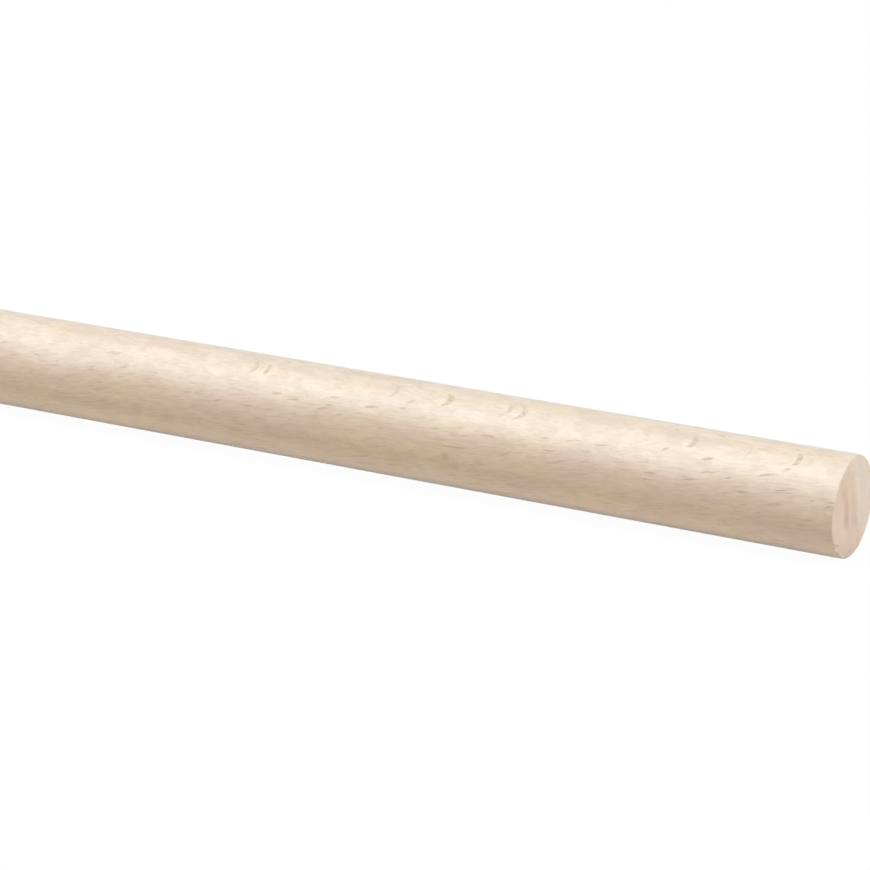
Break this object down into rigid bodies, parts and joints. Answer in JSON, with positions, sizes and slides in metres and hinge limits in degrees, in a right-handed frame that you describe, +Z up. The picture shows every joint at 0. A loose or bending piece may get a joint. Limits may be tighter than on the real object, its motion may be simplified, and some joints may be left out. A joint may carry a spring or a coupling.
{
  "type": "wooden dowel rod",
  "caption": "Straight round rod of pale solid beech with square sawn ends, for pegging, hanging, rolling on and light framing.",
  "frame": {"origin": "middle of the rod, on its centre line, halfway between the two sawn ends", "axes": "+X along the rod, +Z up as it lies, +Y across it; the rod is round, so any turn about X is the same shape"},
  "size_m": [0.5, 0.02, 0.02],
  "materials": {
    "beech": "bare, planed smooth"
  },
  "bodies": {
    "root": {"dowel_rod": "beech"}
  },
  "joints": []
}
